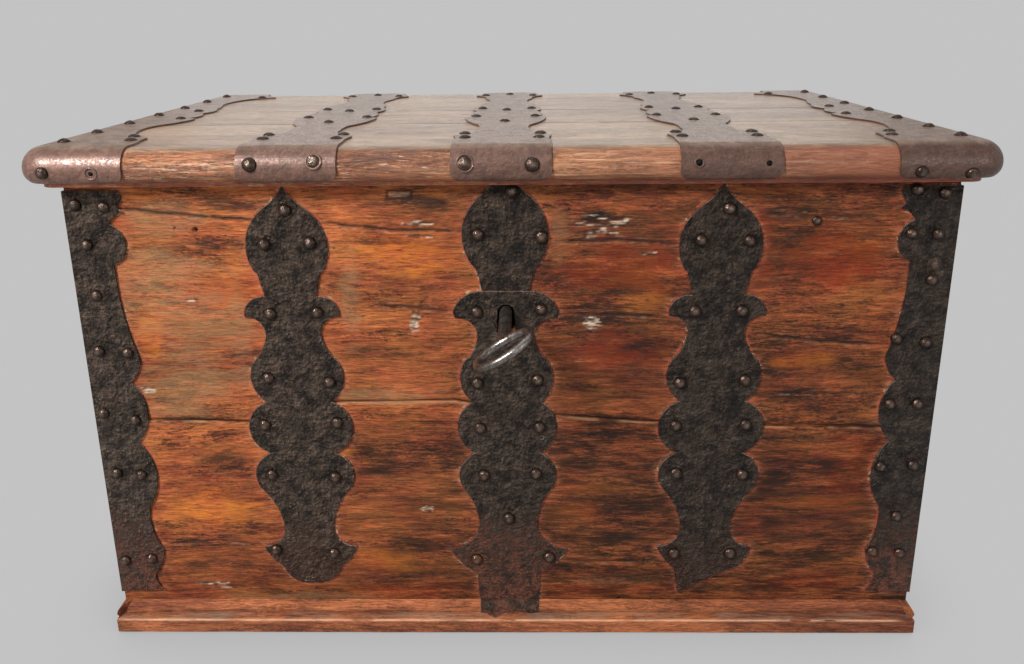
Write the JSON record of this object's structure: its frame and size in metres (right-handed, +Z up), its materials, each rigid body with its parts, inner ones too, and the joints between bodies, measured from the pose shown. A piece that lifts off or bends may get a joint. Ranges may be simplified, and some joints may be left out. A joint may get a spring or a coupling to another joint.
{
  "type": "blanket chest",
  "caption": "Iron-bound oak chest: dovetailed box on a moulded base, flat round-nosed lid on strap hinges, key lock with sliding bolt, till, two side handles.",
  "frame": {"origin": "centre of the underside, on the floor plane", "axes": "+Z up, front with the keyhole towards -Y, +X to the right of someone facing the front"},
  "size_m": [1.121, 0.8066, 0.646],
  "materials": {
    "oak": "aged oak, worn wax over traces of red paint",
    "oak_base": "aged oak, darker and dirtier, worn arris",
    "forged_iron": "hand-forged, blackened, pitted, rust towards the floor",
    "lock_steel": "filed and darkened",
    "worn_steel": "forged and filed, worn bright on the bow"
  },
  "bodies": {
    "chest": {"back_board_lower": "oak", "back_board_upper": "oak", "base_rail_back": "oak_base", "base_rail_front": "oak_base", "base_rail_left": "oak_base", "base_rail_right": "oak_base", "bolt_guide_left": "lock_steel", "bolt_guide_right": "lock_steel", "corner_iron_back_left": "forged_iron", "corner_iron_back_right": "forged_iron", "corner_iron_front_left": "forged_iron", "corner_iron_front_right": "forged_iron", "end_board_left_lower": "oak", "end_board_left_upper": "oak", "end_board_right_lower": "oak", "end_board_right_upper": "oak", "floor_board_back": "oak", "floor_board_front": "oak", "floor_board_middle": "oak", "front_board_lower": "oak", "front_board_upper": "oak", "front_strap_centre": "forged_iron", "front_strap_centre_top": "forged_iron", "front_strap_left": "forged_iron", "front_strap_right": "forged_iron", "handle_mount_left_back": "forged_iron", "handle_mount_left_front": "forged_iron", "handle_mount_right_back": "forged_iron", "handle_mount_right_front": "forged_iron", "hinge_pin_centre": "lock_steel", "hinge_pin_left": "lock_steel", "hinge_pin_right": "lock_steel", "hinge_strap_centre": "forged_iron", "hinge_strap_left": "forged_iron", "hinge_strap_right": "forged_iron", "lock_bridge": "lock_steel", "lock_plate": "lock_steel", "lock_spring": "lock_steel", "till_floor": "oak", "till_side": "oak"},
    "lid": {"lid_board_back": "oak", "lid_board_front": "oak", "lid_board_middle": "oak", "lid_end_strap_left": "forged_iron", "lid_end_strap_right": "forged_iron", "lid_hasp": "lock_steel", "lid_strap_centre": "forged_iron", "lid_strap_left": "forged_iron", "lid_strap_right": "forged_iron"},
    "bolt": {"lock_bolt": "lock_steel"},
    "key": {"key": "worn_steel"},
    "handle_left": {"handle_left": "forged_iron"},
    "handle_right": {"handle_right": "forged_iron"}
  },
  "joints": [
    {"name": "lid_hinge", "type": "hinge", "parent": "chest", "child": "lid", "pos_m": [0, 0.32386, 0.598], "axis": [-1, 0, 0], "range_deg": [0, 100]},
    {"name": "key_turn", "type": "hinge", "parent": "chest", "child": "key", "pos_m": [-0.005, 0, 0.44], "axis": [0, -1, 0], "range_deg": [0, 116]},
    {"name": "bolt_slide", "type": "slide", "parent": "chest", "child": "bolt", "axis": [-1, 0, 0], "range_m": [0, 0.0445]},
    {"name": "handle_left_swing", "type": "hinge", "parent": "chest", "child": "handle_left", "pos_m": [-0.532, 0, 0.4], "axis": [0, 1, 0], "range_deg": [0, 150]},
    {"name": "handle_right_swing", "type": "hinge", "parent": "chest", "child": "handle_right", "pos_m": [0.532, 0, 0.4], "axis": [0, -1, 0], "range_deg": [0, 150]}
  ],
  "couplings": [
    {"joint": "key_turn", "follows": "bolt_slide", "rad_per_m": 45.455}
  ]
}
